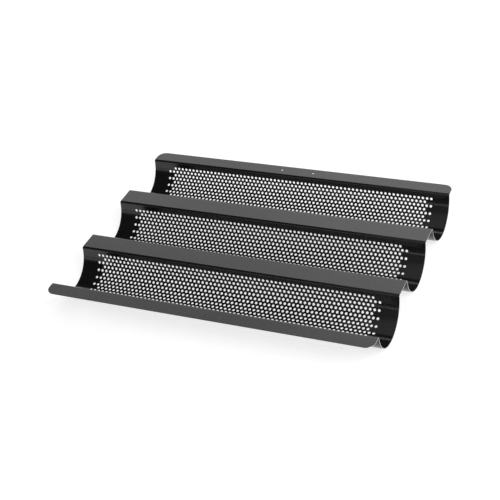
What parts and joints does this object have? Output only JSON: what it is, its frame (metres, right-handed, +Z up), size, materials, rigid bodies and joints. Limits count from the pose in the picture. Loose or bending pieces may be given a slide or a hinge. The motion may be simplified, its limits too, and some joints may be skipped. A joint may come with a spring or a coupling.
{
  "type": "baguette tray",
  "caption": "Perforated sheet-metal baking tray with parallel round troughs for baguettes, flat ridges between them and flat side flanges.",
  "frame": {"origin": "under the centre of the tray, at the level that the bottoms of the troughs rest on", "axes": "+X along the troughs, +Y from the front flange to the rear flange, +Z up"},
  "size_m": [0.38, 0.289, 0.0338],
  "materials": {
    "nonstick_coating": "black non-stick coating on thin steel sheet: satin on the flats, glossier in the troughs"
  },
  "bodies": {
    "root": {"rear_flange": "nonstick_coating", "rear_trough": "nonstick_coating", "rear_ridge": "nonstick_coating", "middle_trough": "nonstick_coating", "front_ridge": "nonstick_coating", "front_trough": "nonstick_coating", "front_flange": "nonstick_coating"}
  },
  "joints": []
}
